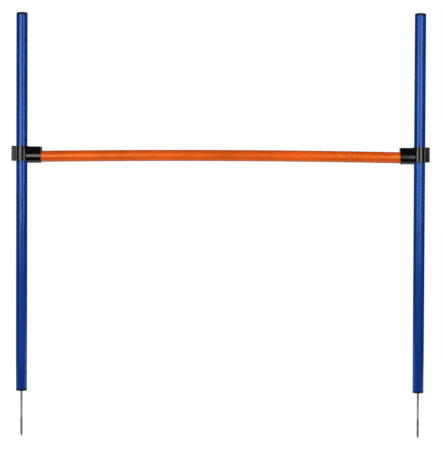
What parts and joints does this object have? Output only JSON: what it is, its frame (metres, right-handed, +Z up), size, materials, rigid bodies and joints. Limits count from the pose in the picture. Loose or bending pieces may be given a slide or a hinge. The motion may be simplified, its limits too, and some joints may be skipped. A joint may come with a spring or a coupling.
{
  "type": "agility hurdle",
  "caption": "Dog agility hurdle: spiked posts that push into the ground, sliding clips with open cradles, and a lift-off crossbar between them.",
  "frame": {"origin": "ground level, midway between the two posts, where the undersides of the bottom plugs stand", "axes": "+X along the crossbar towards the right-hand post, +Z up the posts, -Y towards whoever looks at the front"},
  "size_m": [1.2632, 0.05, 1.288],
  "materials": {
    "post_plastic": "glossy extruded blue tube",
    "crossbar_plastic": "glossy extruded orange tube",
    "clip_plastic": "glossy moulded black",
    "cap_plastic": "satin moulded near-black blue",
    "spike_steel": "drawn rod, zinc grey"
  },
  "bodies": {
    "posts": {"left_post": "post_plastic", "left_top_cap": "cap_plastic", "left_bottom_plug": "cap_plastic", "left_ground_spike": "spike_steel", "right_post": "post_plastic", "right_top_cap": "cap_plastic", "right_bottom_plug": "cap_plastic", "right_ground_spike": "spike_steel"},
    "left_clip": {"left_clip": "clip_plastic"},
    "right_clip": {"right_clip": "clip_plastic"},
    "crossbar": {"crossbar": "crossbar_plastic", "crossbar_left_cap": "cap_plastic", "crossbar_right_cap": "cap_plastic"}
  },
  "joints": [
    {"name": "left_clip_height", "type": "slide", "parent": "posts", "child": "left_clip", "axis": [0, 0, 1], "range_m": [-0.68, 0.39]},
    {"name": "right_clip_height", "type": "slide", "parent": "posts", "child": "right_clip", "axis": [0, 0, 1], "range_m": [-0.68, 0.39]},
    {"name": "crossbar_lift", "type": "slide", "parent": "left_clip", "child": "crossbar", "axis": [0, 0, 1], "range_m": [0, 0.1]}
  ],
  "couplings": [
    {"joint": "right_clip_height", "follows": "left_clip_height", "ratio": 1}
  ]
}
